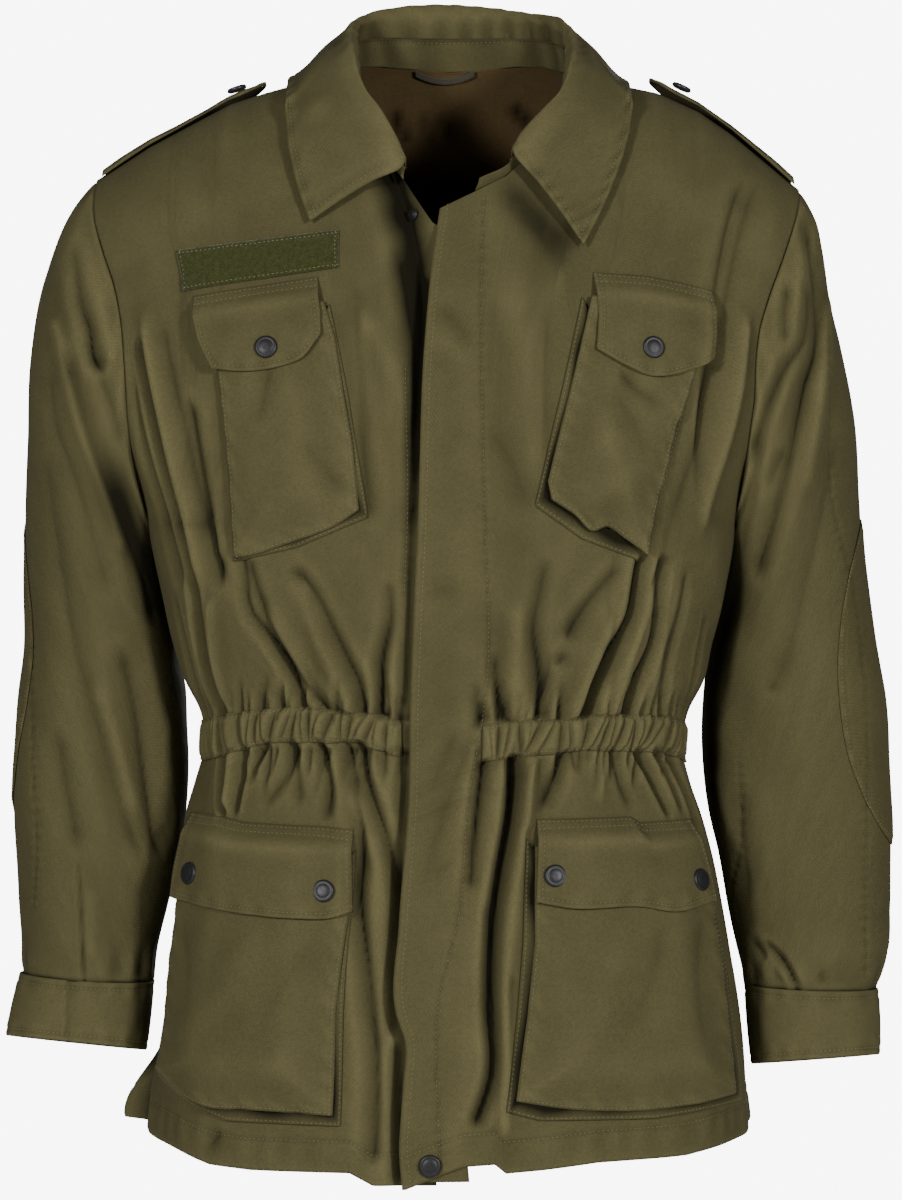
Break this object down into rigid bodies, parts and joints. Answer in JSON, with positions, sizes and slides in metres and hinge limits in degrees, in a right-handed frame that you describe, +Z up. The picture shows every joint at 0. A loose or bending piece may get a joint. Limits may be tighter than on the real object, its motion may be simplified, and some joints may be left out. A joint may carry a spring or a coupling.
{
  "type": "field jacket",
  "caption": "Hip-length cotton field jacket with an open collar, covered front closure, gathered waist, bellows pockets, shoulder straps and elbow patches, filled out as worn.",
  "frame": {"origin": "middle of the neck opening, 11 mm below the inner ends of the shoulder seams, where the jacket is carried on the wearer's neck and shoulders", "axes": "+Z up from the hem to the collar, -Y out of the front, +X towards the wearer's left sleeve"},
  "size_m": [0.6137, 0.3095, 0.8074],
  "materials": {
    "cloth": "matt olive drab cotton twill",
    "patch_cloth": "matt olive drab cotton twill",
    "loop_pile": "fuzzy loop pile, dark green",
    "tape": "matt woven tape",
    "snap_metal": "dark lacquered, semi-gloss",
    "button_plastic": "dark, semi-gloss rim"
  },
  "bodies": {
    "root": {"front_right": "cloth", "front_left": "cloth", "fly_facing": "cloth", "back": "cloth", "sleeve_right": "cloth", "sleeve_left": "cloth", "cuff_right": "cloth", "cuff_left": "cloth", "elbow_patch_right": "patch_cloth", "elbow_patch_left": "patch_cloth", "collar_stand": "cloth", "collar": "cloth", "hanger_loop": "tape", "shoulder_strap_right": "cloth", "shoulder_strap_left": "cloth", "strap_button_right": "button_plastic", "strap_button_left": "button_plastic", "name_strip": "loop_pile", "casing_right": "cloth", "casing_left": "cloth", "casing_back": "cloth", "chest_bellows_right": "cloth", "chest_bellows_left": "cloth", "chest_pocket_right": "cloth", "chest_pocket_left": "cloth", "chest_flap_right": "cloth", "chest_flap_left": "cloth", "chest_snap_right": "snap_metal", "chest_snap_left": "snap_metal", "hip_bellows_right": "cloth", "hip_bellows_left": "cloth", "hip_pocket_right": "cloth", "hip_pocket_left": "cloth", "hip_flap_right": "cloth", "hip_flap_left": "cloth", "hip_snap_right_outer": "snap_metal", "hip_snap_right_inner": "snap_metal", "hip_snap_left_outer": "snap_metal", "hip_snap_left_inner": "snap_metal", "hem_snap": "snap_metal", "neck_snap": "snap_metal"}
  },
  "joints": []
}
